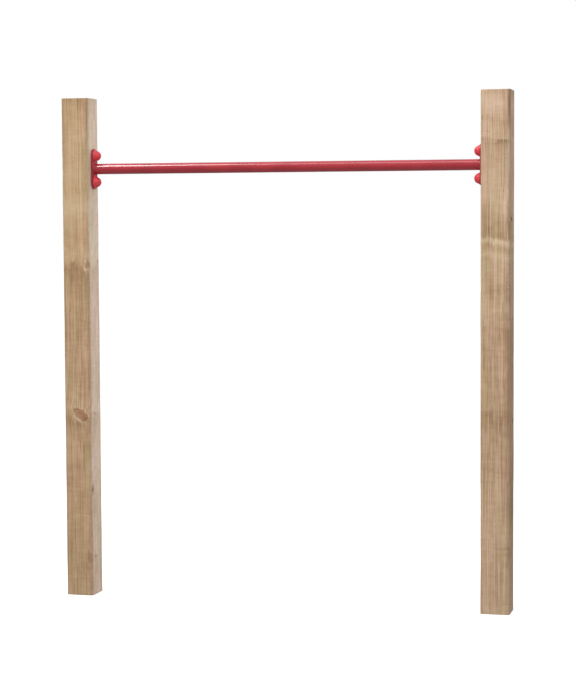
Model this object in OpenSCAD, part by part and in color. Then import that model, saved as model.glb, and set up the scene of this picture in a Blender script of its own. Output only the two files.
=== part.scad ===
// Garden pull up bar: a welded steel bar screwed between two square timber posts.
// Origin: on the ground, midway between the posts. X runs along the bar, Y from front
// to back, Z up. Each screw station has its own axis, with height counted from the
// post's inner face towards the middle of the bar.

/* [Posts] */
// Width and depth of each square post
post_w = 90; // [80:1:120]
// Height of each post
post_h = 1600; // [1500:10:2400]
// Radius of the posts' long edges
post_edge_r = 7; // [2:0.5:12]

/* [Bar] */
// Length of the tube between its two plates
bar_length = 1250; // [600:10:1800]
// Height of the bar's axis above the posts' feet
bar_height = 1375; // [600:5:1400]
// Outside diameter of the tube
bar_d = 33.7; // [26.9:0.1:34]
// Wall thickness of the tube
bar_wall = 2.6; // [1.5:0.1:4]
// Leg length of the weld around each end of the tube
weld_leg = 3.8; // [2:0.1:4]

/* [Plates] */
// Width of a plate, and the diameter of its round ends
plate_w = 44; // [40:1:60]
// Thickness of a plate
plate_t = 6; // [4:0.5:8]
// Distance between the two screw holes of a plate
hole_spacing = 84; // [84:1:100]
// Diameter of a screw hole in a plate
plate_hole_d = 11; // [10.5:0.1:12]

/* [Screws] */
// Diameter of the plain shank, and of the thread's crests
screw_d = 10; // [8:0.5:10]
// Length of a screw under its head
screw_l = 80; // [60:5:85]
// Length of the plain shank under the head
shank_l = 32; // [20:1:40]
// Diameter of the thread's root
root_d = 7; // [5:0.5:7]
// Pitch of the thread
thread_pitch = 4.5; // [3.5:0.5:5]
// Width across the flats of the hexagon head
head_af = 17; // [13:1:17]
// Height of the hexagon head
head_h = 7; // [5:0.5:7]
// Outside diameter of the steel washer
washer_d = 20; // [18:1:21]
// Thickness of the steel washer
washer_t = 2; // [1:0.5:2]

/* [Caps] */
// Diameter of a cap at its rim
cap_rim_d = 41; // [40.5:0.1:41]
// Height of a cap above the plate
cap_h = 20.4; // [20:0.1:24]
// Radius of a cap's round nose
cap_nose_r = 16; // [15.8:0.1:16]
// Angle of a cap's flank from its axis
cap_flank = 25; // [24:1:26]
// Wall thickness of a cap
cap_wall = 1.8; // [1.5:0.1:2]
// Thickness of the disc that the washer presses on
base_t = 2; // [1.5:0.1:2]

/* [Hidden] */
$fn = 96;

// The two sides along X, and the two levels of each plate's screws.
LEFT = -1;
RIGHT = 1;
UPPER = 1;
LOWER = -1;

// Colours.
TIMBER = [0.74, 0.62, 0.49];
COATED_STEEL = [0.66, 0.15, 0.18];
CAP_RED = [0.82, 0.24, 0.27];
ZINC = [0.72, 0.73, 0.74];

// The posts' inner faces stand this far from the middle of the bar.
inner_x = bar_length / 2 + plate_t;
// Room left in each pilot hole past the screw's point.
pilot_spare = 4;
// Clearance around the plain shank, in the post and in the washer and cap base.
shank_fit = 0.25;
// Length of the screw's point, and of the cone from its shank to its thread's root.
point_l = 10;
run_out = 1;

// Heights on a station's axis, from the post's face.
base_z = plate_t;
washer_z = base_z + base_t;
head_z = washer_z + washer_t;

// Gap between a cap's rim and the plate.
cap_gap = 0.3;
// The straight lip at a cap's rim.
cap_lip_h = 1;
// Centre of the nose's sphere, above the plate.
nose_z = cap_h - cap_nose_r;
// The cap base's disc, with a small bevel on its edge.
base_r = 16.6;
base_bevel = 0.5;
// The collar on the disc, and the snap bead around it.
collar_r = 14.3;
collar_wall = 2.1;
collar_h = 3.4;
bead_out = 0.5;
bead_h = 0.4;
// The ridge inside a cap that catches under the bead, with the play between them.
ridge_play = 0.4;
ridge_r = collar_r + bead_out + ridge_play;
ridge_z = base_t + 0.7;
ridge_h = 0.8;
// The lever slot in the back of a cap's rim, for lifting it off.
slot_w = 7;
slot_h = 1.3;
slot_depth = 1.8;

// ---- Places -------------------------------------------------------------------

// A child drawn along +Z from the post's inner face, moved to one screw's axis.
module at_screw(side, level) {
    translate([side * inner_x, 0, bar_height + level * hole_spacing / 2])
        rotate([0, -side * 90, 0])
            children();
}

// A child drawn along +Z from the post's inner face, moved to the bar's axis.
module at_bar_end(side) {
    translate([side * inner_x, 0, bar_height])
        rotate([0, -side * 90, 0])
            children();
}

// ---- Posts --------------------------------------------------------------------

// A square with round corners.
module post_outline() {
    straight = post_w - 2 * post_edge_r;
    square([straight, post_w], center = true);
    square([post_w, straight], center = true);
    for (x = [-1, 1], y = [-1, 1])
        translate([x * straight / 2, y * straight / 2])
            circle(r = post_edge_r);
}

// The hole that one screw is driven into: a shank hole, then a narrower pilot.
module screw_hole() {
    shank_depth = shank_l - head_z;
    pilot_depth = screw_l - head_z + pilot_spare;
    translate([0, 0, -shank_depth])
        cylinder(r = screw_d / 2 + shank_fit, h = shank_depth + 1);
    translate([0, 0, -pilot_depth])
        cylinder(d = root_d, h = pilot_depth);
}

module post(side) {
    color(TIMBER)
        difference() {
            translate([side * (inner_x + post_w / 2), 0, 0])
                linear_extrude(post_h)
                    post_outline();
            for (level = [UPPER, LOWER])
                at_screw(side, level) screw_hole();
        }
}

// ---- Bar, plates and welds ----------------------------------------------------

module grip_tube() {
    color(COATED_STEEL)
        translate([-bar_length / 2, 0, bar_height])
            rotate([0, 90, 0])
                difference() {
                    cylinder(d = bar_d, h = bar_length);
                    translate([0, 0, -1])
                        cylinder(d = bar_d - 2 * bar_wall, h = bar_length + 2);
                }
}

// An upright plate with half-round ends, concentric with its two screw holes.
module plate(side) {
    color(COATED_STEEL)
        at_bar_end(side)
            linear_extrude(plate_t)
                difference() {
                    union() {
                        square([hole_spacing, plate_w], center = true);
                        for (end = [-1, 1])
                            translate([end * hole_spacing / 2, 0])
                                circle(d = plate_w);
                    }
                    for (end = [-1, 1])
                        translate([end * hole_spacing / 2, 0])
                            circle(d = plate_hole_d);
                }
}

// A round fillet weld in the corner between the tube and the plate.
module weld(side) {
    color(COATED_STEEL)
        at_bar_end(side)
            translate([0, 0, plate_t])
                rotate_extrude()
                    translate([bar_d / 2, 0])
                        intersection() {
                            circle(r = weld_leg);
                            square(weld_leg);
                        }
}

// ---- Screws and washers -------------------------------------------------------

// One ring of the thread, as three points of the outline from height z upwards.
function thread_ring(z) = [
    [root_d / 2, z + 0.15 * thread_pitch],
    [screw_d / 2, z + 0.5 * thread_pitch],
    [root_d / 2, z + 0.85 * thread_pitch],
];

// Half the outline of a coach screw below its head, from its point upwards.
function screw_outline() =
    let (
        thread_z = point_l - screw_l,
        rings = floor((screw_l - shank_l - point_l) / thread_pitch)
    )
    [
        [0, -screw_l],
        [root_d / 2, thread_z],
        for (i = [0 : rings - 1]) each thread_ring(thread_z + i * thread_pitch),
        [root_d / 2, -shank_l - run_out],
        [screw_d / 2, -shank_l],
        [screw_d / 2, 0],
        [0, 0],
    ];

// A hexagon head, with its top corners turned off at 30 degrees.
module screw_head() {
    top_r = 0.95 * head_af / 2;
    intersection() {
        cylinder(r = head_af / 2 / cos(30), h = head_h, $fn = 6);
        cylinder(r1 = top_r + head_h / tan(30), r2 = top_r, h = head_h);
    }
}

module coach_screw(side, level) {
    color(ZINC)
        at_screw(side, level)
            translate([0, 0, head_z]) {
                screw_head();
                rotate_extrude() polygon(screw_outline());
            }
}

module washer(side, level) {
    color(ZINC)
        at_screw(side, level)
            translate([0, 0, washer_z])
                difference() {
                    cylinder(d = washer_d, h = washer_t);
                    translate([0, 0, -1])
                        cylinder(r = screw_d / 2 + shank_fit, h = washer_t + 2);
                }
}

// ---- Caps ---------------------------------------------------------------------

// The disc under the washer, with the collar and bead that the cap snaps over.
module cap_base(side, level) {
    hole_r = screw_d / 2 + shank_fit;
    bead_r = collar_r + bead_out;
    top = base_t + collar_h;
    bead_top = top - 2 * bead_out + bead_h / 2;
    color(CAP_RED)
        at_screw(side, level)
            translate([0, 0, base_z])
                rotate_extrude()
                    polygon([
                        [hole_r, 0],
                        [base_r, 0],
                        [base_r, base_t - base_bevel],
                        [base_r - base_bevel, base_t],
                        [collar_r, base_t],
                        [collar_r, bead_top - bead_h - bead_out],
                        [bead_r, bead_top - bead_h],
                        [bead_r, bead_top],
                        [collar_r, top],
                        [collar_r - collar_wall, top],
                        [collar_r - collar_wall, base_t],
                        [hole_r, base_t],
                    ]);
}

// Half the section of a solid cap, shrunk all over by inset: a cone under a sphere.
module cap_half_section(inset) {
    nose_r = cap_nose_r - inset;
    flank_top_r = nose_r * cos(cap_flank);
    flank_top_z = nose_z + nose_r * sin(cap_flank);
    foot_r = flank_top_r + flank_top_z * tan(cap_flank);
    polygon([[0, 0], [foot_r, 0], [flank_top_r, flank_top_z], [0, flank_top_z]]);
    intersection() {
        translate([0, nose_z]) circle(r = nose_r);
        translate([0, flank_top_z]) square(cap_rim_d);
    }
}

module cap(side, level) {
    color(CAP_RED)
        at_screw(side, level)
            translate([0, 0, plate_t])
                difference() {
                    rotate_extrude()
                        difference() {
                            union() {
                                cap_half_section(0);
                                square([cap_rim_d / 2, cap_gap + cap_lip_h]);
                            }
                            difference() {
                                cap_half_section(cap_wall);
                                translate([ridge_r, ridge_z]) square([cap_rim_d, ridge_h]);
                            }
                            translate([-1, -1]) square([cap_rim_d, 1 + cap_gap]);
                        }
                    translate([0, cap_rim_d / 2, cap_gap])
                        cube([slot_w, 2 * slot_depth, 2 * slot_h], center = true);
                }
}

post(LEFT);  // left_post
post(RIGHT);  // right_post
grip_tube();
plate(LEFT);  // left_plate
plate(RIGHT);  // right_plate
weld(LEFT);  // left_weld
weld(RIGHT);  // right_weld
coach_screw(LEFT, UPPER);  // left_upper_screw
coach_screw(LEFT, LOWER);  // left_lower_screw
coach_screw(RIGHT, UPPER);  // right_upper_screw
coach_screw(RIGHT, LOWER);  // right_lower_screw
washer(LEFT, UPPER);  // left_upper_washer
washer(LEFT, LOWER);  // left_lower_washer
washer(RIGHT, UPPER);  // right_upper_washer
washer(RIGHT, LOWER);  // right_lower_washer
cap_base(LEFT, UPPER);  // left_upper_cap_base
cap_base(LEFT, LOWER);  // left_lower_cap_base
cap_base(RIGHT, UPPER);  // right_upper_cap_base
cap_base(RIGHT, LOWER);  // right_lower_cap_base
cap(LEFT, UPPER);  // left_upper_cap
cap(LEFT, LOWER);  // left_lower_cap
cap(RIGHT, UPPER);  // right_upper_cap
cap(RIGHT, LOWER);  // right_lower_cap
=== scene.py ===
import math
from functools import reduce

import bmesh
import bpy
import numpy as np
from mathutils import Matrix, Vector
from mathutils.kdtree import KDTree


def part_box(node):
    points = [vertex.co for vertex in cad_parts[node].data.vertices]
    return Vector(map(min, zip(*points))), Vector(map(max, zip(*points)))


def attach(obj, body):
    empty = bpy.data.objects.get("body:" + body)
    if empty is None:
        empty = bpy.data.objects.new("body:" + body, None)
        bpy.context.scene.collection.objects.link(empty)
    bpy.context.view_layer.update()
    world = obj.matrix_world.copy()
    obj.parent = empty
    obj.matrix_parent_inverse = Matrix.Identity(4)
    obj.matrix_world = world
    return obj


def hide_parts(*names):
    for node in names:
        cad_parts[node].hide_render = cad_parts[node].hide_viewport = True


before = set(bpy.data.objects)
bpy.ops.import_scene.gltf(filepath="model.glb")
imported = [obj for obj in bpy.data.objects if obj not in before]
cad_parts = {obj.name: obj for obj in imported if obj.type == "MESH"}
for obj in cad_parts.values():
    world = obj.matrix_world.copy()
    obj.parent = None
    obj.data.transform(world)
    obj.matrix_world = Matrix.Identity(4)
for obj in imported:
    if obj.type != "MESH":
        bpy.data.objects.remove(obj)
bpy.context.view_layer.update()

# A garden pull up bar. Metres: X along the bar, Y from front to back, Z up.
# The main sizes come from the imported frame. The pieces at a screw are made along their own
# axis, +Z from the post's inner face towards the middle of the bar, and then placed.

MM = 0.001
TURN = 2 * math.pi
QUARTER = math.pi / 2
SIDES = {"left": -1, "right": 1}
LEVELS = ("upper", "lower")

POST_LOW, POST_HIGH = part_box("left_post")
POST_W = POST_HIGH.y - POST_LOW.y
POST_H = POST_HIGH.z
POST_X = -(POST_LOW.x + POST_HIGH.x) / 2
INNER_X = -POST_HIGH.x

TUBE_LOW, TUBE_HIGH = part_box("grip_tube")
TUBE_R = (TUBE_HIGH.z - TUBE_LOW.z) / 2
BAR_Z = (TUBE_HIGH.z + TUBE_LOW.z) / 2

PLATE_LOW, PLATE_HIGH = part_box("left_plate")
PLATE_T = PLATE_HIGH.x - PLATE_LOW.x
PLATE_W = PLATE_HIGH.y - PLATE_LOW.y
HOLE_SPACING = PLATE_HIGH.z - PLATE_LOW.z - PLATE_W

RNG = np.random.default_rng(41)


# ---- Node trees ----

WHITE = (1.0, 1.0, 1.0, 1.0)
MID_GREY = (0.5, 0.5, 0.5, 1.0)


class Nodes:
    """One material's or group's node tree. Each method adds a node and returns its output."""

    def __init__(self, tree):
        self.tree = tree

    def add(self, kind, inputs=(), output=0, **settings):
        node = self.tree.nodes.new(kind)
        for name, value in settings.items():
            setattr(node, name, value)
        for key, value in dict(inputs).items():
            self.join(value, node.inputs[key])
        return node.outputs[output]

    def join(self, value, socket):
        if isinstance(value, bpy.types.NodeSocket):
            self.tree.links.new(value, socket)
        else:
            socket.default_value = value

    def feed(self, shader, values):
        """Joins each value to the shader's input of that name."""
        for name, value in values.items():
            self.join(value, shader.inputs[name])

    def math(self, operation, a, b=0.0, clamp=False):
        return self.add("ShaderNodeMath", {0: a, 1: b}, operation=operation, use_clamp=clamp)

    def plus(self, *values):
        return reduce(lambda a, b: self.math("ADD", a, b), values)

    def minus(self, a, b):
        return self.math("SUBTRACT", a, b)

    def times(self, *values):
        return reduce(lambda a, b: self.math("MULTIPLY", a, b), values)

    def over(self, a, b):
        return self.math("DIVIDE", a, b)

    def weighted(self, *pairs):
        """The sum of each value times its weight."""
        return self.plus(*(self.times(value, weight) for value, weight in pairs))

    def decay(self, value, rate=1.0):
        """1 where value is 0, falling towards 0 as it grows."""
        return self.math("EXPONENT", self.times(value, -rate))

    def step(self, value, low, high, to_low=0.0, to_high=1.0):
        """Value eased from to_low to to_high as it goes from low to high."""
        inputs = {0: value, 1: low, 2: high, 3: to_low, 4: to_high}
        return self.add("ShaderNodeMapRange", inputs, interpolation_type="SMOOTHSTEP")

    def share(self, noise, to_low=0.0, to_high=1.0):
        """Noise, which keeps near 0.5, eased over its usual span from to_low to to_high."""
        return self.step(noise, 0.3, 0.7, to_low, to_high)

    def swing(self, noise, size=1.0):
        """Noise eased over its usual span from -size to size."""
        return self.share(noise, -size, size)

    def vector(self, operation, a, b=(0.0, 0.0, 0.0), output=0):
        return self.add("ShaderNodeVectorMath", {0: a, 1: b}, output, operation=operation)

    def scaled(self, a, factor):
        return self.add("ShaderNodeVectorMath", {0: a, "Scale": factor}, operation="SCALE")

    def separate(self, a):
        return self.add("ShaderNodeSeparateXYZ", {0: a}).node.outputs

    def normal(self, kind="Normal"):
        return self.separate(self.add("ShaderNodeNewGeometry", output=kind))

    def stored(self, name):
        """A value that the mesh stores at each point."""
        return self.add("ShaderNodeAttribute", output="Fac", attribute_name=name)

    def stretch(self, a, factors):
        return self.vector("MULTIPLY", a, factors)

    def noise(self, at, scales, detail=2.0, roughness=0.5, output=0):
        """Noise with this many waves a metre along each axis, or along all three."""
        scales = scales if isinstance(scales, tuple) else (scales,) * 3
        inputs = {"Vector": self.stretch(at, scales), "Scale": 1.0,
                  "Detail": detail, "Roughness": roughness}
        return self.add("ShaderNodeTexNoise", inputs, output)

    def ramp(self, value, stops):
        """stops is a list of (position, colour or grey)."""
        colour = self.add("ShaderNodeValToRGB", {0: value})
        elements = colour.node.color_ramp.elements
        while len(elements) < len(stops):
            elements.new(1.0)
        for element, (position, shade) in zip(elements, stops):
            shade = (shade,) * 3 if isinstance(shade, (int, float)) else shade
            element.position = position
            element.color = (*shade, 1.0)
        return colour

    def mix(self, factor, a, b, blend="MIX"):
        inputs = {0: factor, 6: a, 7: b}
        return self.add("ShaderNodeMix", inputs, 2, data_type="RGBA", blend_type=blend)

    def bump(self, height, strength, distance):
        inputs = {"Height": height, "Strength": strength, "Distance": distance}
        return self.add("ShaderNodeBump", inputs)


def rgb(*shades):
    """A linear colour, with its alpha, from three sRGB values of 11 to 255."""
    return (*(((shade / 255 + 0.055) / 1.055) ** 2.4 for shade in shades), 1.0)


def new_material(name):
    """An empty material: its node builder, its Principled shader and its object coordinates."""
    material = bpy.data.materials.new(name)
    material.use_nodes = True
    nodes = Nodes(material.node_tree)
    shader = material.node_tree.nodes["Principled BSDF"]
    place = nodes.add("ShaderNodeTexCoord", output="Object")
    return material, nodes, shader, place


# ---- Timber ----

# Both posts. The lists are in millimetres, z from the foot, x and y from the post's axis.
#   pith: the trunk's centre, beside which each post is sawn.
#   ring, ring_contrast: the width of a year's growth and its strength.
#   hairs: the strength of the fine dark lines along the grain.
#   pink: a shift of the hue below and above the middle. seed: moves all of the noises.
#   tones: bands of (height, lightness), paler above a whorl of branches and darker below.
#     The other faces share same_all_round of them, tilt slants them across the front, and
#     ragged breaks up their edges, coarsely and finely.
#   knots: branches from the pith that come out at (x, y, z) with a radius there and, where
#     one is cut at a slant, how much longer than wide it is and its slope in degrees.
#   checks: drying cracks, (face, place across it, low end, high end, width, depth), with
#     face 0 in front, 1 on the right, 2 behind and 3 on the left.
#   patches on the front, side_patches on the right face: lighter and darker places,
#     (x or y, z, half width, half height, change in lightness).
#   flames: streaky tongues on the front that start sharply under a branch and fade
#     downwards, (x, top, half width, tail, change in lightness).
POSTS = {
    "left": dict(
        pith=(30 * MM, 14 * MM),
        ring=3.3 * MM,
        ring_contrast=0.72,
        hairs=0.18,
        pink=(0.05, -0.12),
        same_all_round=0.4,
        seed=3.7,
        tilt=0.05,
        ragged=(9 * MM, 7 * MM),
        knots=[
            (39, -46, 1069, 7.5, 1.7, 78), (46, 30, 1078, 4.0), (-24, 45, 1052, 8.0),
            (-45, -8, 1080, 6.0), (6, -46, 592, 11.2, 1.5, -38), (19, -46, 580, 10.4, 1.5, -36),
            (45, -8, 587, 6.0), (-45, 20, 577, 8.0), (12, 45, 601, 9.5), (45, -8, 124, 5.0),
            (-8, 45, 118, 7.0), (45, -33, 342, 3.2), (45, -6, 327, 3.0), (-45, 12, 1512, 7.0),
            (28, 45, 1526, 6.0),
        ],
        checks=[
            (0, 3, 826, 890, 0.7, 1.6), (0, -22, 918, 946, 0.6, 1.2), (2, -6, 640, 1010, 1.3, 3.5),
            (3, 4, 130, 470, 1.1, 3.0), (3, -9, 1150, 1430, 0.9, 2.5), (1, 14, 300, 345, 0.6, 1.4),
        ],
        tones=[(0, 0.45), (120, 0.45), (180, 0.40), (260, 0.46), (330, 0.48), (380, 0.39),
               (430, 0.46), (525, 0.54), (560, 0.38), (612, 0.50), (650, 0.43), (740, 0.46),
               (800, 0.46), (850, 0.39), (920, 0.40), (960, 0.46), (1000, 0.42), (1050, 0.42),
               (1080, 0.45), (1100, 0.57), (1140, 0.45), (1180, 0.50), (1225, 0.64), (1256, 0.81),
               (1300, 0.54), (1380, 0.58), (1405, 0.54), (1450, 0.59), (1480, 0.57), (1530, 0.45),
               (1565, 0.41), (1600, 0.27)],
        patches=[
            (40, 1520, 1.6, 80, -0.22), (0, 260, 44, 1.4, 0.20),
            (0, 63, 40, 1.4, 0.22), (-10, 318, 3, 9, 0.25), (11, 660, 3, 3, 0.20),
            (6, 568, 4, 4, 0.30), (26, 571, 12, 10, -0.24), (-25, 596, 14, 30, 0.05),
            (-30, 592, 7, 10, -0.14), (30, 1082, 5, 4, 0.16), (27, 1056, 6, 6, 0.14),
            (-34, 1500, 14, 110, -0.06),
        ],
        side_patches=[
            (0, 1235, 44, 50, -0.10), (0, 1530, 44, 50, 0.04), (-8, 587, 9, 10, 0.20),
            (-8, 124, 8, 9, 0.20), (-34, 345, 8, 16, -0.42), (-14, 322, 10, 9, 0.14),
        ],
        flames=[
            (-38, 1062, 7, 55, -0.24), (-24, 1057, 9, 60, -0.20), (-12, 1078, 7, 44, -0.36),
            (10, 1066, 15, 70, -0.14), (30, 1050, 14, 90, -0.08), (14, 566, 18, 40, -0.10),
        ],
    ),
    "right": dict(
        pith=(36 * MM, 8 * MM),
        ring=3.2 * MM,
        ring_contrast=0.70,
        hairs=0.21,
        pink=(0.15, 0.20),
        same_all_round=0.8,
        seed=8.2,
        tilt=0.24,
        ragged=(3 * MM, 4 * MM),
        knots=[
            (-25, -46, 1474, 2.4), (45, 8, 1462, 6.5), (-6, 45, 1480, 8.0), (45, -38, 1208, 3.0),
            (43, -46, 1008, 3.2), (-45, -6, 1020, 8.5), (14, 45, 1003, 7.5), (45, 6, 905, 6.0),
            (-45, 18, 612, 7.0), (45, 14, 590, 6.5), (-18, 45, 196, 9.0), (45, -6, 214, 4.0),
        ],
        checks=[
            (2, 8, 560, 880, 1.2, 3.2), (2, -4, 1060, 1330, 0.9, 2.4), (1, 6, 660, 880, 1.0, 2.6),
            (3, -6, 240, 520, 0.8, 2.2), (0, -12, 700, 790, 0.5, 1.2),
        ],
        tones=[(0, 0.54), (40, 0.49), (180, 0.53), (400, 0.47), (440, 0.34), (535, 0.41),
               (610, 0.30), (640, 0.43), (700, 0.42), (880, 0.39), (900, 0.50), (942, 0.59),
               (980, 0.51), (1040, 0.45), (1082, 0.50), (1100, 0.65), (1118, 0.44), (1128, 0.45),
               (1135, 0.78), (1144, 0.76), (1151, 0.33), (1180, 0.41), (1225, 0.46), (1280, 0.63),
               (1340, 0.56), (1388, 0.50), (1424, 0.58), (1442, 0.42), (1451, 0.64), (1504, 0.38),
               (1556, 0.71), (1600, 0.50)],
        patches=[
            (30, 912, 20, 11, -0.13), (20, 606, 18, 18, -0.09), (34, 571, 9, 20, 0.10),
            (-20, 880, 16, 60, 0.03), (29, 204, 20, 1.6, -0.22), (39, 199, 7, 2.2, 0.16),
            (32, 33, 16, 1.6, -0.22), (40, 28, 7, 2.2, 0.16), (26, 1446, 16, 3, -0.14),
            (25, 1297, 2, 3, -0.25), (42, 1556, 5, 55, -0.32), (-6, 1560, 24, 34, 0.05),
        ],
        side_patches=[
            (4, 1420, 44, 150, 0.22), (-40, 1550, 7, 60, -0.20), (6, 1560, 38, 40, 0.14),
            (0, 1156, 44, 60, 0.32), (0, 1020, 44, 60, 0.08), (0, 740, 44, 190, -0.07),
            (0, 340, 44, 85, -0.24), (0, 45, 44, 60, 0.14), (-14, 1210, 14, 6, -0.80),
            (-14, 1135, 12, 5, -0.60),
        ],
        flames=[
            (-14, 1441, 26, 60, -0.16), (24, 1445, 18, 12, -0.26), (12, 1011, 22, 30, -0.06),
        ],
    ),
}

# Multipliers for each face's colour: front, right, back and left. They hold the wood's own
# differences between faces and also painted light: each face made lighter or darker, and
# paler, for how the lamps and their sheen fall on it.
FACE_TINTS_AND_PAINTED_LIGHT = {
    "left": ((0.93, 0.955, 0.97), (1.21, 1.46, 1.98), (0.99, 1.02, 1.06), (0.97, 1.0, 1.03)),
    "right": ((0.98, 1.055, 1.14), (1.04, 1.09, 1.17), (1.0, 1.04, 1.10), (1.06, 1.13, 1.26)),
}

# The pairs are green-tinged and pink-tinged wood, and a knot's two alternating rings.
SPRING_WOOD = rgb(183, 155, 112), rgb(196, 157, 124)
LATE_WOOD = rgb(140, 111, 74), rgb(147, 109, 78)
RESIN = rgb(118, 90, 58)
PALE_FLECK = rgb(214, 190, 162)
PIN_KNOT = rgb(104, 76, 50)
KNOT_HALO = rgb(214, 184, 153)
KNOT_RINGS = rgb(146, 106, 76), rgb(178, 136, 104)
KNOT_HEART = rgb(120, 84, 58)
KNOT_RIM = rgb(110, 76, 50)
SAWN_END = rgb(206, 190, 166)
# Painted shade for the depths of drying cracks.
PAINTED_CRACK_SHADE = rgb(60, 44, 30)
# Rounded edges: partly worn, partly painted shade on the rounding.
EDGE_WEAR_AND_SHADE = rgb(137, 119, 92)

# A branch rises outwards, pushes the grain aside, and lifts it over LIFT_REACH above and below.
BRANCH_RISE = math.tan(math.radians(12))
THINNEST_BRANCH = 0.2 * MM
GRAIN_PUSH = 0.92
LIFT_SCALE = 34 * MM
LIFT_REACH = 46 * MM
FAR = 99.0

# How opaque knots are in front and on the right face, and where along x the one gives way to
# the other. Then how far out from a post's axis the patches on a face come in, and the half
# height in millimetres under which a patch is less ragged.
KNOT_COVER = 0.88
SIDE_KNOT_COVER = 0.60
FACE_EDGE = (36 * MM, 44 * MM)
FACE_START = (30 * MM, 44 * MM)
SMALL_PATCH = 22


def branch(post, knot):
    """A knot's root on the pith, unit heading, widening per metre, longer way across, and
    the change of scale along that."""
    surface = Vector(knot[:3]) * MM
    root = Vector((*post["pith"], surface.z))
    root.z -= (surface - root).length * BRANCH_RISE
    reach = (surface - root).length
    stretch, slope = knot[4:] or (1.0, 0.0)
    slope = math.radians(slope)
    level = Vector((0, 1, 0)) if abs(surface.x) > abs(surface.y) else Vector((1, 0, 0))
    longer = level * math.cos(slope) + Vector((0, 0, math.sin(slope)))
    return root, (surface - root).normalized(), knot[3] * MM / reach, longer, 1 / stretch - 1


def knot_group():
    """A node group that bends the grain's coordinates around one branch.

    Closeness is 0 on its axis and 1 on its bark. Lift is positive above it, negative below.
    """
    tree = bpy.data.node_groups.new("branch in the grain", "ShaderNodeTree")
    for name, kind in (("Place", "Vector"), ("Root", "Vector"), ("Heading", "Vector"),
                       ("Widening", "Float"), ("Longer Way", "Vector"), ("Stretch", "Float")):
        tree.interface.new_socket(name, in_out="INPUT", socket_type=f"NodeSocket{kind}")
    for name, kind in (("Place", "Vector"), ("Closeness", "Float"), ("Lift", "Float")):
        tree.interface.new_socket(name, in_out="OUTPUT", socket_type=f"NodeSocket{kind}")
    n = Nodes(tree)
    inputs = tree.nodes.new("NodeGroupInput").outputs
    outputs = tree.nodes.new("NodeGroupOutput").inputs
    away = n.vector("SUBTRACT", inputs["Place"], inputs["Root"])
    along = n.vector("DOT_PRODUCT", away, inputs["Heading"], output="Value")
    across = n.vector("SUBTRACT", away, n.scaled(inputs["Heading"], along))
    slanted = n.vector("DOT_PRODUCT", across, inputs["Longer Way"], output="Value")
    slanted = n.scaled(inputs["Longer Way"], n.times(slanted, inputs["Stretch"]))
    distance = n.vector("LENGTH", n.vector("ADD", across, slanted), output="Value")
    radius = n.math("MAXIMUM", n.times(along, inputs["Widening"]), THINNEST_BRANCH)
    closeness = n.over(distance, radius)
    pull = n.over(GRAIN_PUSH, n.math("MAXIMUM", n.math("POWER", closeness, 2.0), 1.0))
    fade = n.step(closeness, 2.0, 9.0, 1.0, 0.0)
    bent = n.vector("SUBTRACT", inputs["Place"], n.scaled(across, n.times(pull, fade)))
    height = n.over(n.separate(across)[2], LIFT_SCALE)
    near = n.decay(n.math("POWER", n.over(distance, LIFT_REACH), 2.0))
    weight = n.times(near, n.step(along, 0.0, 30 * MM))
    n.join(bent, outputs["Place"])
    n.join(closeness, outputs["Closeness"])
    n.join(n.times(height, weight), outputs["Lift"])
    return tree


def drifted(n, at, along, scales, size):
    """at moved sideways by up to half of size, by noise at along."""
    drift = n.noise(along, scales, output="Color")
    drift = n.vector("SUBTRACT", drift, (0.5, 0.5, 0.5))
    return n.vector("ADD", at, n.stretch(drift, (size, size, 0)))


def grain_space(n, place, still, post, knots_tree):
    """Coordinates in which the grain is straight, and each point's closeness and lift."""
    grain = drifted(n, place, still, (7, 7, 1.7), 16 * MM)
    grain = drifted(n, grain, still, (46, 46, 9), 3.2 * MM)
    closeness, lift = FAR, 0.0
    for knot in post["knots"]:
        group = n.add("ShaderNodeGroup", node_tree=knots_tree).node
        for value, socket in zip((grain, *branch(post, knot)), group.inputs):
            n.join(value, socket)
        grain = group.outputs["Place"]
        closeness = n.math("MINIMUM", group.outputs["Closeness"], closeness)
        lift = n.plus(group.outputs["Lift"], lift)
    return grain, closeness, lift


def year_rings(n, grain, post):
    """Late wood: 0 in spring's soft wood, rising to 1 at the end of a year's ring."""
    from_pith = n.vector("SUBTRACT", grain, (*post["pith"], 0))
    radius = n.vector("LENGTH", n.stretch(from_pith, (1, 1, 0)), output="Value")
    drift = n.noise(n.add("ShaderNodeCombineXYZ", {0: radius}), (38, 1, 1), 1.0)
    years = n.plus(n.over(radius, post["ring"]), n.times(drift, 2.2))
    year = n.math("FLOOR", years)
    hardness = n.add("ShaderNodeTexWhiteNoise", {"W": year}, noise_dimensions="1D")
    season = n.math("FRACT", years)
    late = n.times(n.step(season, 0.40, 0.84), n.step(season, 0.92, 1.0, 1.0, 0.0))
    return n.times(late, n.step(hardness, 0.0, 1.0, 0.5, 1.0))


def specks(n, grain):
    """Sparse pin knots and resin dots: how pale and how dark each point is."""
    inputs = {"Vector": n.stretch(grain, (75, 75, 26)), "Scale": 1.0}
    cell = n.add("ShaderNodeTexVoronoi", inputs, feature="F1").node
    spot = n.step(cell.outputs["Distance"], 0.05, 0.14, 1.0, 0.0)
    chance = n.separate(cell.outputs["Color"])
    return [n.times(spot, n.math("GREATER_THAN", chance[i], 0.95)) for i in (0, 1)]


def face_tint_and_painted_light(n, side):
    """A multiplier for each of a post's faces, blended round the rounded edges: the wood's own colour
    for each face, with painted light and sheen.
    """
    x, y, _ = n.normal()
    front, right, back, left = ((*tint_and_light, 1.0) for tint_and_light in FACE_TINTS_AND_PAINTED_LIGHT[side])
    tint_and_light = n.mix(n.step(y, -0.7, 0.7), front, back)
    tint_and_light = n.mix(n.step(x, 0.45, 0.9), tint_and_light, right)
    return n.mix(n.step(x, -0.45, -0.9), tint_and_light, left)


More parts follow.
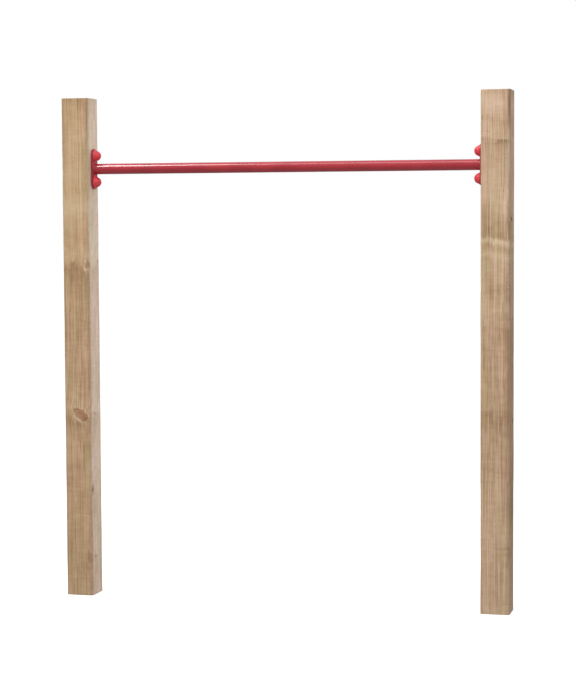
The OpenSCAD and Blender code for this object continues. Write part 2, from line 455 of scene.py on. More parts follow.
def exposure(n, tone):
    """The multiplier for a lightness of 0 to 1: paler wood is also less yellow."""
    return n.ramp(tone, [(0.0, (0.48, 0.38, 0.27)), (0.5, 1.0), (1.0, (1.33, 1.50, 1.75))])


class Wood:
    """What the layers of one post's look share: its nodes, its grain and its noises."""

    def __init__(self, side, post, knots_tree):
        self.post = post
        self.material, n, self.shader, place = new_material(f"timber_{side}")
        self.n = n
        self.place = n.vector("SUBTRACT", place, (SIDES[side] * POST_X, 0.0, 0.0))
        seed = (post["seed"],) * 3
        still = n.vector("ADD", self.place, seed)
        self.grain, self.closeness, self.lift = grain_space(n, self.place, still, post, knots_tree)
        self.late = year_rings(n, self.grain, post)
        moved = n.vector("ADD", self.grain, seed)

        # These bend with the grain.
        self.streaks = n.noise(moved, (120, 120, 1.8), 3.0, 0.6)
        self.hairs = n.noise(moved, (340, 340, 4.0))
        self.tints = n.noise(moved, (75, 75, 4))
        self.tongues = n.noise(moved, (55, 55, 1.6), 1.0)
        self.fringe = n.noise(moved, (230, 230, 2.5))

        # These don't.
        self.shades = n.noise(still, (14, 14, 4), 3.0)
        self.fibres = n.noise(still, (950, 950, 16), 2.0, 0.7)
        self.pores = n.noise(still, (420, 420, 30), 1.0)
        self.clouds = n.noise(still, (45, 45, 40), 3.0)
        self.chatter = n.noise(still, (24, 24, 150))
        self.mottle = n.noise(still, (150, 150, 70), 3.0, 0.65)
        self.lobes = n.noise(still, 60)
        self.wobble = n.swing(n.noise(still, (30, 30, 0)), 3 * MM)

        coarse, fine = post["ragged"]
        self.ragged = n.plus(n.swing(self.tongues, coarse), n.swing(self.fringe, fine))
        self.resin = n.times(n.step(self.pores, 0.70, 0.76), 0.3)
        self.end = n.step(n.math("ABSOLUTE", n.normal("True Normal")[2]), 0.75, 0.95)
        self.saw_marks = n.math("SINE", n.times(n.separate(still)[0], 2900.0))


def clear_wood(w):
    """Spring's wood between a green-tinged and a pink-tinged tan, and browner late wood."""
    n, post = w.n, w.post
    pinkness = n.weighted((n.share(w.tints), 0.8), (n.share(w.shades), 0.3))
    pink = n.step(n.separate(w.place)[2], 0.85, 1.25, *post["pink"])
    pinkness = n.math("ADD", pinkness, pink, clamp=True)
    swirl = n.step(w.closeness, 1.0, 4.5, 1.7, 1.0)
    amount = n.times(w.late, n.share(w.streaks, 0.35, 0.75), swirl, post["ring_contrast"])
    return n.mix(amount, n.mix(pinkness, *SPRING_WOOD), n.mix(pinkness, *LATE_WOOD))


def lightness(w):
    """How light the wood is, 0 to 1: the bands up the post, and the noises on top."""
    n, post = w.n, w.post
    x, _, z = n.separate(w.grain)
    height = n.plus(z, w.ragged, n.times(x, post["tilt"]))
    bands = n.ramp(n.over(height, POST_H), [(up * MM / POST_H, v) for up, v in post["tones"]])
    evenness = n.step(n.normal()[1], -0.9, -0.3, 0.0, 1 - post["same_all_round"])
    bands = n.mix(evenness, bands, MID_GREY)
    return n.weighted(
        (bands, 1.0), (n.step(w.lift, -0.5, 0.5, -1.0, 1.0), 0.07),
        (n.step(w.streaks, 0.25, 0.75, -1.0, 1.0), 0.07),
        (n.step(w.hairs, 0.25, 0.75, -1.0, 1.0), post["hairs"]),
        (n.swing(w.clouds), 0.05), (n.swing(w.fibres), 0.06), (n.swing(w.chatter), 0.035))


def with_knots(w, colour):
    """Branches: a pale ring in the wood around, a thin dark rim, darker above, and rings
    inside. Gives the colour, where the knots are and how deeply they are carved."""
    n = w.n
    near = n.plus(w.closeness, n.swing(w.lobes, 0.20), n.swing(w.mottle, 0.17))
    above = n.step(w.lift, -0.22, 0.22)
    halo = n.ramp(n.over(near, 3.0), [(0.35, 0.0), (0.43, 0.9), (0.56, 0.35), (0.9, 0.0)])
    colour = n.mix(n.times(halo, n.step(above, 0.0, 1.0, 0.8, 0.3)), colour, KNOT_HALO)
    turns = n.math("SINE", n.times(near, 15.0))
    inside = n.mix(n.step(turns, -1.0, 1.0), *KNOT_RINGS)
    inside = n.mix(n.step(near, 0.05, 0.4, 0.5, 0.0), inside, KNOT_HEART)
    rim = n.times(n.step(near, 0.66, 0.95), n.plus(0.08, n.times(above, 0.38)))
    inside = n.mix(rim, inside, KNOT_RIM)
    is_knot = n.step(near, 0.80, 1.28, 1.0, 0.0)
    carved = n.times(is_knot, n.step(turns, -1.0, 1.0, 0.1, 0.5))
    cover = n.step(n.separate(w.grain)[0], *FACE_EDGE, KNOT_COVER, SIDE_KNOT_COVER)
    return n.mix(n.times(is_knot, cover), colour, inside), is_knot, carved


def patches_on_face(w, across_face, z, outwards, patches):
    """The sum of soft patches of lighter and darker wood, the large ones most ragged."""
    n = w.n
    total = 0.0
    for across, up, half_width, half_height, change in patches:
        uneven = n.times(w.ragged, min(half_height / SMALL_PATCH, 1.0))
        height = n.plus(z, uneven, w.wobble)
        off_z = n.over(n.minus(height, up * MM), half_height * MM)
        off_x = n.over(n.minus(across_face, across * MM), half_width * MM)
        off = n.plus(n.math("POWER", off_x, 4.0), n.math("POWER", off_z, 2.0))
        total = n.plus(n.times(n.decay(off), change), total)
    return n.times(total, n.step(outwards, *FACE_START))


def flames_on_front(w, x, z, forwards):
    """The sum of dark tongues with a sharp top, jagged and broken up by the fringe."""
    n = w.n
    height = n.plus(z, n.swing(w.fringe, 5 * MM))
    total = 0.0
    for across, top, half_width, tail, change in w.post["flames"]:
        below = n.over(n.minus(top * MM, height), tail * MM)
        fall = n.decay(n.math("MAXIMUM", below, 0.0), 1.6)
        off_x = n.over(n.minus(x, across * MM), half_width * MM)
        width = n.decay(n.math("POWER", off_x, 4.0))
        tongue = n.times(fall, width, n.step(below, 0.0, 0.08), change)
        total = n.plus(tongue, total)
    streaks = n.step(w.fringe, 0.38, 0.60, 2.0, 0.1)
    return n.times(total, streaks, n.step(forwards, *FACE_START))


def with_marks(w, colour):
    """Patches on the front and the right face, and flames under the front's branches."""
    n = w.n
    x, y, z = n.separate(w.place)
    forwards = n.times(y, -1.0)
    marks = n.plus(patches_on_face(w, x, z, forwards, w.post["patches"]),
                   patches_on_face(w, y, z, x, w.post["side_patches"]),
                   flames_on_front(w, x, z, forwards), 0.5)
    return n.mix(1.0, colour, exposure(n, marks), "MULTIPLY")


def with_weathering_and_painted_shade(w, colour):
    """Sawn ends are thirstier and darker, cracks get painted shade in their depths, and handled edges
    are greyer from being worn and darker from painted shade.
    """
    n = w.n
    colour = n.mix(w.end, colour, n.mix(1.0, colour, SAWN_END, "MULTIPLY"))
    # Painted shade: the depths of the cracks darkened.
    shadowed = n.times(n.math("POWER", n.stored("crack"), 0.5), 0.85)
    colour = n.mix(shadowed, colour, PAINTED_CRACK_SHADE)
    # Rounded edges darkened and greyed: partly worn, partly painted shade.
    return n.mix(n.times(n.stored("edge_wear_and_shade"), n.share(w.mottle, 0.1, 0.35)), colour, EDGE_WEAR_AND_SHADE)


def timber(side, post, knots_tree):
    """Softwood: year rings about the pith, branches, fibres, and treatment's tints."""
    w = Wood(side, post, knots_tree)
    n = w.n
    colour = n.mix(1.0, clear_wood(w), exposure(n, lightness(w)), "MULTIPLY")
    # Painted light: each face is made lighter or darker, and paler, for how the lamps fall on it.
    colour = n.mix(1.0, colour, face_tint_and_painted_light(n, side), "MULTIPLY")
    colour = n.mix(w.resin, colour, RESIN)
    pale, dark = specks(n, w.grain)
    colour = n.mix(n.times(pale, 0.5), colour, PALE_FLECK)
    colour = n.mix(n.times(dark, 0.55), colour, PIN_KNOT)
    colour, is_knot, carved = with_knots(w, colour)
    colour = with_weathering_and_painted_shade(w, with_marks(w, colour))
    polish = n.weighted((w.late, -0.10), (is_knot, -0.16), (n.share(w.fibres), 0.10))
    relief = n.weighted((w.late, 0.45), (w.fibres, 0.5), (w.hairs, 0.3), (w.resin, -1.2),
                        (carved, 1.0), (n.times(w.end, w.saw_marks), 0.3))
    n.feed(w.shader, {"Base Color": colour, "Roughness": n.plus(polish, 0.66),
                      "Normal": n.bump(relief, 0.6, 0.25 * MM)})
    return w.material


# ---- Other materials ----


def powder_coat():
    """Red polyester powder coat: glossy, with orange peel and a slight cloudiness."""
    material, n, shader, place = new_material("red_powder_coat")
    peel = n.noise(place, 520, roughness=0.45)
    clouds = n.noise(place, (14, 30, 30), 4.0)
    dust = n.noise(place, 1500, 0.0)
    colour = n.mix(n.share(clouds), rgb(154, 33, 44), rgb(166, 38, 49))
    colour = n.mix(n.step(dust, 0.72, 0.8, 0.0, 0.4), colour, rgb(120, 24, 34))
    rough = n.plus(n.step(clouds, 0.25, 0.75, 0.11, 0.16), n.swing(peel, 0.02))
    n.feed(shader, {"Base Color": colour, "Roughness": rough, "IOR": 1.62,
                    "Normal": n.bump(peel, 0.3, 0.035 * MM)})
    return material


def cap_plastic():
    """Moulded red polyamide: satin, with faint flow marks and fine scuffs."""
    material, n, shader, place = new_material("red_cap_plastic")
    flow = n.noise(place, 60, 3.0)
    scuffs = n.noise(place, (260, 1900, 700), 1.0)
    grainy = n.noise(place, 2400, 1.0)
    colour = n.mix(n.share(flow), rgb(203, 54, 63), rgb(215, 64, 73))
    colour = n.mix(n.step(scuffs, 0.68, 0.8, 0.0, 0.25), colour, rgb(231, 108, 112))
    rough = n.plus(n.share(flow, 0.34, 0.42), n.step(scuffs, 0.6, 0.8, 0.0, 0.15))
    n.feed(shader, {"Base Color": colour, "Roughness": rough, "Subsurface Weight": 0.08,
                    "Subsurface Scale": 2 * MM, "Normal": n.bump(grainy, 0.2, 0.05 * MM)})
    return material


def zinc_plate():
    """Bright zinc plating over forged steel: cloudy, faintly iridescent, scratched."""
    material, n, shader, place = new_material("zinc_plated_steel")
    clouds = n.noise(place, 300, 3.0)
    scratches = n.noise(place, (4000, 900, 260), 1.0)
    colour = n.mix(n.share(clouds), rgb(197, 200, 204), rgb(214, 212, 201))
    rough = n.plus(n.step(clouds, 0.25, 0.75, 0.24, 0.42), n.step(scratches, 0.6, 0.8, 0.0, 0.2))
    n.feed(shader, {"Base Color": colour, "Roughness": rough, "Metallic": 1.0,
                    "Normal": n.bump(scratches, 0.25, 0.06 * MM)})
    return material


def pale_floor():
    """A matt white studio floor, lit from within a little, with a barely visible mottle."""
    material, n, shader, place = new_material("pale_floor")
    colour = n.mix(n.share(n.noise(place, 3, 4.0)), rgb(150, 150, 149), rgb(156, 156, 156))
    n.feed(shader, {"Base Color": colour, "Roughness": 0.9, "Specular IOR Level": 0.0,
                    "Emission Color": WHITE, "Emission Strength": 0.80})
    return material


# ---- Meshes ----


def new_piece(name, mesh, material, node, body="frame", sharp_degrees=40):
    """Puts a mesh in the scene in place of a CAD node, riding on that node's body."""
    piece = bpy.data.objects.new(name, mesh)
    bpy.context.scene.collection.objects.link(piece)
    mesh.materials.append(material)
    mesh.shade_smooth()
    mesh.set_sharp_from_angle(angle=math.radians(sharp_degrees))
    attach(piece, body)
    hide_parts(node)


def grid_mesh(name, points, around=True, closed=False, caps=False):
    """A mesh from rows of points, shape (rows, columns, 3).

    around joins each row's ends, closed the last row to the first, and caps fills both rows.
    """
    rows, columns = points.shape[:2]
    number = np.arange(rows * columns).reshape(rows, columns)
    if around:
        number = np.concatenate([number, number[:, :1]], axis=1)
    if closed:
        number = np.concatenate([number, number[:1]], axis=0)
    quads = np.stack([number[:-1, :-1], number[:-1, 1:], number[1:, 1:], number[1:, :-1]], axis=-1)
    faces = quads.reshape(-1, 4).tolist()
    if caps:
        faces += [number[0, :columns][::-1].tolist(), number[-1, :columns].tolist()]
    mesh = bpy.data.meshes.new(name)
    mesh.from_pydata(points.reshape(-1, 3).tolist(), [], faces)
    return cleaned(mesh)


def cleaned(mesh):
    """Merges points that coincide, drops faces with no area, and turns normals outwards."""
    bm = bmesh.new()
    bm.from_mesh(mesh)
    bmesh.ops.remove_doubles(bm, verts=bm.verts, dist=1e-6)
    bmesh.ops.dissolve_degenerate(bm, edges=bm.edges, dist=1e-7)
    bmesh.ops.recalc_face_normals(bm, faces=bm.faces)
    bm.to_mesh(mesh)
    bm.free()
    return mesh


def joined(name, meshes):
    """One mesh that holds several closed shells."""
    bm = bmesh.new()
    for mesh in meshes:
        bm.from_mesh(mesh)
    together = bpy.data.meshes.new(name)
    bm.to_mesh(together)
    bm.free()
    return together


def rounded(corners, closed=True, steps=5):
    """A polyline from (x, y, fillet radius) corners, with each corner turned into an arc."""
    points = []
    count = len(corners)
    for i, (x, y, radius) in enumerate(corners):
        here = Vector((x, y))
        if radius <= 0 or (not closed and i in (0, count - 1)):
            points.append((x, y))
            continue
        before = (Vector(corners[i - 1][:2]) - here).normalized()
        after = (Vector(corners[(i + 1) % count][:2]) - here).normalized()
        half = before.angle(after) / 2
        back = radius / math.tan(half)
        centre = here + (before + after).normalized() * radius / math.sin(half)
        start, end = here + before * back - centre, here + after * back - centre
        turn = start.angle_signed(end)
        for k in range(steps + 1):
            points.append(tuple(centre + Matrix.Rotation(-turn * k / steps, 2) @ start))
    return points


def angles_round(segments):
    return np.arange(segments) * TURN / segments


def ring(radii, heights, segments):
    """A row of points about the Z axis. radii and heights are each one number or one a point."""
    angles = angles_round(segments)
    heights = np.broadcast_to(heights, segments)
    return np.stack([radii * np.cos(angles), radii * np.sin(angles), heights], axis=-1)


def lathe(profile, segments=96, radius_of=None):
    """Rows of points: a profile of (radius, height) turned about the Z axis.

    radius_of(radius, height, angles) may change each row's radius around the turn.
    """
    angles = angles_round(segments)
    rows = []
    for radius, height in profile:
        radii = radius_of(radius, height, angles) if radius_of else radius
        rows.append(ring(radii, height, segments))
    return np.array(rows)


def from_post(points, side, height):
    """Points made about +Z from a post's inner face, moved to an axis at that height."""
    sign = SIDES[side]
    x, y, z = np.moveaxis(points, -1, 0)
    return np.stack([sign * (INNER_X - z), y, height + sign * x], axis=-1)


def screw_height(level):
    return BAR_Z + (HOLE_SPACING / 2 if level == "upper" else -HOLE_SPACING / 2)


def turned_piece(name, profile, side, level, segments=96, radius_of=None):
    """A closed shell turned about a screw's axis, with heights from the plate's face."""
    points = lathe(profile, segments, radius_of)
    points[..., 2] += PLATE_T
    placed = from_post(points, side, screw_height(level))
    return grid_mesh(f"{side}_{level}_{name}", placed, closed=True)


# ---- Posts ----

# Columns of points run up a post. PACE is the way round it from one face to the next.
EDGE_R = 7 * MM
STRAIGHT = POST_W - 2 * EDGE_R
PACE = STRAIGHT + QUARTER * EDGE_R
COLUMNS_PER_FACE = 38
COLUMNS = 4 * COLUMNS_PER_FACE
SPACING = PACE / COLUMNS_PER_FACE
ROW_PITCH = 3.6 * MM

# The columns that move with a drying crack on each side of it, and how far past its ends.
CRACK_REACH = 6
CRACK_FADE = 25 * MM

# Waves in a post's surface and the height of one, and dents along its edges.
SWELLS = 5
SWELL = 0.09 * MM
DENTS = 26

# A sawn end's rounding, its rings of points, and cracks in the top as (column, first ring,
# last ring, openness).
END_ROUND = 1.3 * MM
END_RINGS = 16
END_CRACKS = ((9, 5, 11, 0.9), (38, 4, 9, 0.6), (97, 3, 11, 1.1), (118, 2, 7, 0.8), (140, 6, 12, 0.7))
END_CRACK_DEPTH = 1.6 * MM


def around_post(distance):
    """Points and outward normals at distances around the post's rounded square."""
    corner = POST_W / 2 - EDGE_R
    face = np.floor(distance / PACE).astype(int)
    rest = distance - face * PACE
    turn = np.clip((rest - STRAIGHT) / EDGE_R, 0, QUARTER)
    normals = np.stack([np.sin(turn), -np.cos(turn)], -1)
    points = np.stack([np.minimum(rest, STRAIGHT) - corner, np.full_like(rest, -corner)], -1)
    points += EDGE_R * normals
    for k in range(1, 4):
        c, s = round(math.cos(k * QUARTER)), round(math.sin(k * QUARTER))
        to_face = np.array([[c, s], [-s, c]])
        on = face % 4 == k
        points[on] = points[on] @ to_face
        normals[on] = normals[on] @ to_face
    return points, normals


def wander(t, seed, waves):
    """A smooth random line of about unit size. Its longest wave repeats as t grows by 1."""
    generator = np.random.default_rng(seed)
    total = np.zeros_like(t)
    for k in range(1, waves + 1):
        total += generator.normal() / k * np.sin(TURN * (k * t + generator.random()))
    return total


def post_heights():
    """Heights of the post's rows, closer together at the rounded ends."""
    turns = np.linspace(0, QUARTER, 5)
    foot = END_ROUND * (1 - np.cos(turns))
    inner = np.linspace(END_ROUND, POST_H - END_ROUND, round(POST_H / ROW_PITCH))
    return np.concatenate([foot[:-1], inner, POST_H - foot[::-1][1:]])


def open_crack(number, check, z, distance, depth, crack):
    """Parts the columns beside a drying crack and sinks its own column, in these arrays."""
    face, across, low, high, width, deep = check
    low, high = low * MM, high * MM
    middle = face * PACE + STRAIGHT / 2 + across * MM
    column = round(middle / SPACING)
    along = np.clip((z - low) / (high - low), 0, 1)
    open_by = np.sin(math.pi * along) ** 0.5 * (along < 1)
    path = middle - column * SPACING + 0.4 * SPACING * wander(z, 100 * face + number, 6)
    near = np.clip(1 - np.maximum(low - z, z - high) / CRACK_FADE, 0, 1)
    for step in range(-CRACK_REACH, CRACK_REACH + 1):
        shift = path * (1 - max(abs(step) - 1, 0) / (CRACK_REACH - 1))
        if abs(step) == 1:
            shift = path + step * (width * MM / 2 - SPACING)
        base = (column + step) * SPACING
        distance[:, (column + step) % COLUMNS] = base % (4 * PACE) + near * shift
    depth[:, column % COLUMNS] -= deep * MM * open_by
    crack[:, column % COLUMNS] = np.maximum(crack[:, column % COLUMNS], open_by)


def swell(z, turn_share):
    """The slow waviness of planed timber, outwards."""
    total = np.zeros_like(turn_share)
    for wave in range(SWELLS):
        phase = RNG.random(2)
        across = np.sin(TURN * ((wave + 1) * turn_share + phase[0]))
        total += SWELL * across * np.sin(TURN * ((0.7 + 1.3 * wave) * z[:, None] + phase[1]))
    return total


def knot_relief(post, points):
    """Each knot stands out at its rim and sinks at its heart."""
    closeness = np.full(points.shape[:2], FAR)
    for knot in post["knots"]:
        root, heading, widening, longer, stretch = (np.array(v) for v in branch(post, knot))
        along = (points - root) @ heading
        across = points - root - along[..., None] * heading
        across += longer * (across @ longer)[..., None] * stretch
        off = np.linalg.norm(across, axis=-1)
        closeness = np.minimum(closeness, off / np.maximum(along * widening, THINNEST_BRANCH))
    rim = 0.35 * MM * np.exp(-((closeness - 1.05) / 0.3) ** 2)
    return rim - 0.25 * MM * np.exp(-(closeness / 0.5) ** 2)


def dents(z, distance):
    """Knocks on the edges, inwards."""
    total = np.zeros_like(distance)
    for _ in range(DENTS):
        corner = RNG.integers(4)
        spot = (corner + 1) * PACE - QUARTER / 2 * EDGE_R + RNG.normal() * 3 * MM
        size = np.array([RNG.uniform(3, 6), RNG.uniform(4, 14)]) * MM
        off = np.hypot((distance - spot) / size[0], (z[:, None] - RNG.uniform(0, POST_H)) / size[1])
        total += RNG.uniform(0.2, 0.7) * MM * np.exp(-off ** 2)
    return total


def end_inset(z):
    """How far the rounded ends draw each row in."""
    inset = np.zeros_like(z)
    for from_end in (z, POST_H - z):
        near = np.clip(1 - from_end / END_ROUND, 0, 1)
        inset += END_ROUND * (1 - np.sqrt(1 - near ** 2))
    return inset


def end_cracks():
    """How far each point of the top's rings is inside a radial drying crack, 0 to 1."""
    open_by = np.zeros((END_RINGS, COLUMNS))
    for column, first, last, width in END_CRACKS:
        for number in range(first, last + 1):
            share = (number - first) / (last - first)
            open_by[number, column] = width * math.sin(math.pi * share) ** 0.5
    return np.clip(open_by, 0, 1)


def end_rows(edge, height, pith):
    """Rings of points from a post's edge in to its pith: a sawn end."""
    shares = 1 - np.arange(1, END_RINGS + 1) / END_RINGS
    centre = np.array([*pith, height])
    rows = centre + (edge - centre) * shares[:, None, None]
    uneven = 0.05 * MM * np.abs(np.sin(rows[..., 0] * 1700 + 3 * np.sin(rows[..., 1] * 90)))
    uneven *= (shares > 0)[:, None]
    rows[..., 2] = height - uneven if height else uneven
    if height:
        rows[..., 2] -= END_CRACK_DEPTH * end_cracks()
    return rows


def store(mesh, name, points, values):
    """Stores one value a point as a mesh attribute, found again by place after cleaning."""
    flat, values = points.reshape(-1, 3), values.reshape(-1)
    attribute = mesh.attributes.new(name, "FLOAT", "POINT")
    tree = KDTree(len(mesh.vertices))
    for i, vertex in enumerate(mesh.vertices):
        tree.insert(vertex.co, i)
    tree.balance()
    stored = np.zeros(len(mesh.vertices), np.float32)
    for i in np.flatnonzero(values > 0.001):
        stored[tree.find(flat[i])[1]] = values[i]
    attribute.data.foreach_set("value", stored)


def post_mesh(side, post):
    """The post as a dense skin: waviness, knots, drying cracks, dents and sawn ends."""
    z = post_heights()
    distance = np.tile(np.arange(COLUMNS) * SPACING, (len(z), 1))
    depth = np.zeros_like(distance)
    crack = np.zeros_like(distance)
    for number, check in enumerate(post["checks"]):
        open_crack(number, check, z, distance, depth, crack)

    flat, normal = around_post(distance % (4 * PACE))
    points = np.concatenate([flat, np.broadcast_to(z[:, None, None], (*distance.shape, 1))], -1)
    turn_share = distance / (4 * PACE)
    inset = end_inset(z)
    frayed = 1 + 0.35 * wander(turn_share[0], 7 + SIDES[side], 9)
    depth += swell(z, turn_share) + knot_relief(post, points) - dents(z, distance)
    points[..., :2] += normal * (depth - inset[:, None] * frayed)[..., None]

    foot = end_rows(points[0], 0.0, post["pith"])
    top = end_rows(points[-1], POST_H, post["pith"])
    skin = np.concatenate([foot[::-1], points, top])
    skin[..., 0] += SIDES[side] * POST_X
    mesh = grid_mesh(f"{side}_post_timber", skin)

    blank = np.zeros((END_RINGS, COLUMNS))
    # How much each rounded edge and end is darkened: partly worn, partly painted shade on the
    # rounding.
    round_edge = (distance % PACE - STRAIGHT) / (QUARTER * EDGE_R)
    worn = np.exp(-((round_edge - 0.5) / 0.9) ** 2)
    worn = np.maximum(worn, np.clip(inset / END_ROUND, 0, 1)[:, None])
    store(mesh, "crack", skin, np.concatenate([blank, crack, end_cracks()]))
    store(mesh, "edge_wear_and_shade", skin, np.concatenate([blank, worn, blank]))
    return mesh


# ---- Steel bar ----

TUBE_WALL = 2.6 * MM
HOLE_R = 5.5 * MM
PLATE_EDGE = 0.7 * MM
WELD_RIPPLES = 34


def tube_mesh():
    """The tube, with its bore, a hair's breadth of waviness and softened ends."""
    half = (TUBE_HIGH.x - TUBE_LOW.x) / 2
    steps = np.linspace(-half + 2 * MM, half - 2 * MM, 220)
    outside = [(TUBE_R + 0.02 * MM * math.sin(31 * h) * math.sin(7 * h + 1), h, 0) for h in steps]
    bore = TUBE_R - TUBE_WALL
    profile = rounded([(TUBE_R, -half, 0.4 * MM), *outside, (TUBE_R, half, 0.4 * MM),
                       (bore, half, 0.3 * MM), (bore, -half, 0.3 * MM)])
    x, y, z = np.moveaxis(lathe(profile, 72), -1, 0)
    return grid_mesh("grip_tube_steel", np.stack([z, y, BAR_Z + x], axis=-1), closed=True)


def plate_mesh(side):
    """A plate with round ends and two holes, its cut edges broken by a small round."""
    curve = bpy.data.curves.new("plate outline", "CURVE")
    curve.dimensions = "2D"
    curve.fill_mode = "BOTH"
    curve.extrude = PLATE_T / 2 - PLATE_EDGE
    curve.bevel_depth = PLATE_EDGE
    curve.bevel_resolution = 3
    curve.offset = -PLATE_EDGE
    half, radius = HOLE_SPACING / 2, PLATE_W / 2
    turns = np.linspace(-QUARTER, QUARTER, 33)
    circle = np.linspace(0, TURN, 48, endpoint=False)
    ends = [(s * (half + radius * math.cos(a)), s * radius * math.sin(a))
            for s in (1, -1) for a in turns]
    holes = [[(s * half + HOLE_R * math.cos(a), HOLE_R * math.sin(a)) for a in circle]
             for s in (1, -1)]
    for loop in [ends, *holes]:
        spline = curve.splines.new("POLY")
        spline.points.add(len(loop) - 1)
        for point, (x, y) in zip(spline.points, loop):
            point.co = (x, y, 0, 1)
        spline.use_cyclic_u = True
    outline = bpy.data.objects.new("plate outline", curve)
    bpy.context.scene.collection.objects.link(outline)
    bpy.context.view_layer.update()
    mesh = bpy.data.meshes.new_from_object(outline)
    bpy.data.objects.remove(outline)
    points = np.empty(len(mesh.vertices) * 3)
    mesh.vertices.foreach_get("co", points)
    points = points.reshape(-1, 3)
    points[:, 2] += PLATE_T / 2
    mesh.vertices.foreach_set("co", from_post(points, side, BAR_Z).ravel())
    return cleaned(mesh)


def weld_mesh(side):
    """A concave fillet weld laid in overlapping ripples all the way round."""
    low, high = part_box(f"{side}_weld")
    leg = (high.z - low.z) / 2 - TUBE_R
    segments, across = 288, 14
    angles = angles_round(segments)
    size = leg * (0.97 + 0.015 * wander(angles / TURN, 11 + SIDES[side], 5))
    rows = []
    for share in np.arange(across + 1) / across:
        lean = QUARTER * share
        bow = math.sin(math.pi * share)
        ripple = np.abs(np.sin(WELD_RIPPLES / 2 * (angles + 0.10 * bow))) ** 0.7
        fill = size * bow * (0.10 * ripple - 0.16)
        out = size * (1 - math.sin(lean)) + fill
        up = size * (1 - math.cos(lean)) + fill
        rows.append(ring(TUBE_R + out, PLATE_T + up, segments))
    root_r, root_z = TUBE_R - 0.3 * MM, PLATE_T - 0.2 * MM
    back = [(root_r, PLATE_T + 0.9 * leg), (root_r, root_z), (TUBE_R + 0.9 * leg, root_z)]
    rows += [ring(radius, height, segments) for radius, height in back]
    return grid_mesh(f"{side}_weld_bead", from_post(np.array(rows), side, BAR_Z), closed=True)


# ---- Screws and washers ----

WASHER_LOW, WASHER_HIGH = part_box("left_upper_washer")
WASHER_R = (WASHER_HIGH.y - WASHER_LOW.y) / 2
WASHER_T = WASHER_HIGH.x - WASHER_LOW.x
BASE_T = WASHER_LOW.x - PLATE_HIGH.x
HEAD_BASE = PLATE_T + BASE_T + WASHER_T

# The coach screw's own sizes, as in the CAD.
SHANK_R = 5 * MM
ROOT_R = 3.5 * MM
WASHER_BORE = SHANK_R + 0.25 * MM
THREAD_PITCH = 4.5 * MM
SCREW_L = 80 * MM
SHANK_L = 32 * MM
POINT_L = 10 * MM
ACROSS_FLATS = 17 * MM
HEAD_H = 7 * MM


def screw_shaft(side, level):
    """Shank, helical thread and point, as one skin closed at the head's underside."""
    segments, rows = 32, 190
    angles = angles_round(segments)
    depth = np.linspace(0, SCREW_L, rows)[:, None]
    turn = (depth / THREAD_PITCH + angles / TURN) % 1.0
    crest = np.clip(1 - np.abs(turn - 0.5) / 0.32, 0, 1)
    threaded = np.clip((depth - SHANK_L) / THREAD_PITCH, 0, 1)
    taper = np.clip((SCREW_L - depth) / POINT_L, 0.01, 1)
    radii = SHANK_R + (ROOT_R - SHANK_R) * threaded * (1 - crest)
    points = [ring(r, HEAD_BASE - d, segments) for r, d in zip(radii * taper, depth)]
    return from_post(np.array(points), side, screw_height(level))


def screw_mesh(side, level, twist):
    """A coach screw: a forged hexagon head, chamfered and a little dished, on its shaft."""
    half = ACROSS_FLATS / 2
    top_r = 0.95 * half
    dish_z = HEAD_H - 0.3 * MM
    shoulders = [(0.97, 0.0), (1.0, 0.25)] + [(1.0, h) for h in np.linspace(2.0, 6.8, 9)]
    profile = [(SHANK_R, 0.0)] + [(ACROSS_FLATS * r, h * MM) for r, h in shoulders]
    profile += [(top_r, HEAD_H), (top_r * 0.93, HEAD_H), (top_r * 0.86, HEAD_H - 0.25 * MM),
                (top_r * 0.4, dish_z), (0.0, dish_z)]

    def hexagon(radius, height, angles):
        flat = (angles + twist) % (TURN / 6) - TURN / 12
        worn = 0.25 * MM * np.exp(-((np.abs(flat) - TURN / 12) / 0.05) ** 2)
        chamfer = top_r + (HEAD_H - height) * math.sqrt(3)
        return np.minimum(np.minimum(half / np.cos(flat) - worn, chamfer), radius)

    head = lathe(profile, 120, hexagon)
    head[..., 2] += HEAD_BASE
    head = grid_mesh("screw head", from_post(head, side, screw_height(level)), caps=True)
    shaft = grid_mesh("screw shaft", screw_shaft(side, level), caps=True)
    return joined(f"{side}_{level}_screw_steel", [head, shaft])


def washer_mesh(side, level):
    """A stamped washer: rounded on its punched side, crisp on the other."""
    top = BASE_T + WASHER_T
    profile = rounded([(WASHER_BORE, BASE_T, 0.1 * MM), (WASHER_R, BASE_T, 0.15 * MM),
                       (WASHER_R, top, 0.5 * MM), (WASHER_BORE, top, 0.4 * MM)])
    return turned_piece("washer_steel", profile, side, level, 72)


# ---- Caps ----

# Heights are from the plate's face. The lip's radius and a cap's two ends come from the
# frame. The rest are as in the CAD, apart from the gate mark. SLOT_HALF is an angle.
CAP_LOW, CAP_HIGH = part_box("left_upper_cap")
CAP_R = (CAP_HIGH.z - CAP_LOW.z) / 2
CAP_TOP = CAP_HIGH.x - PLATE_HIGH.x
CAP_GAP = CAP_LOW.x - PLATE_HIGH.x
CAP_NOSE_R = 16 * MM
CAP_FLANK = math.radians(25)
CAP_WALL = 1.8 * MM
LIP_H = 1.0 * MM
SLOT_HALF = math.asin(3.5 * MM / CAP_R)
SLOT_DEPTH = 1.8 * MM
SLOT_H = 1.3 * MM
RIDGE_R = 15.2 * MM
RIDGE_Z = 2.7 * MM
RIDGE_H = 0.8 * MM
GATE_R = 1.3 * MM
GATE_DEPTH = 0.18 * MM

BASE_R = 16.6 * MM
COLLAR_R = 14.3 * MM
COLLAR_BORE = 12.2 * MM
COLLAR_H = 3.4 * MM
BEAD_R = 14.8 * MM


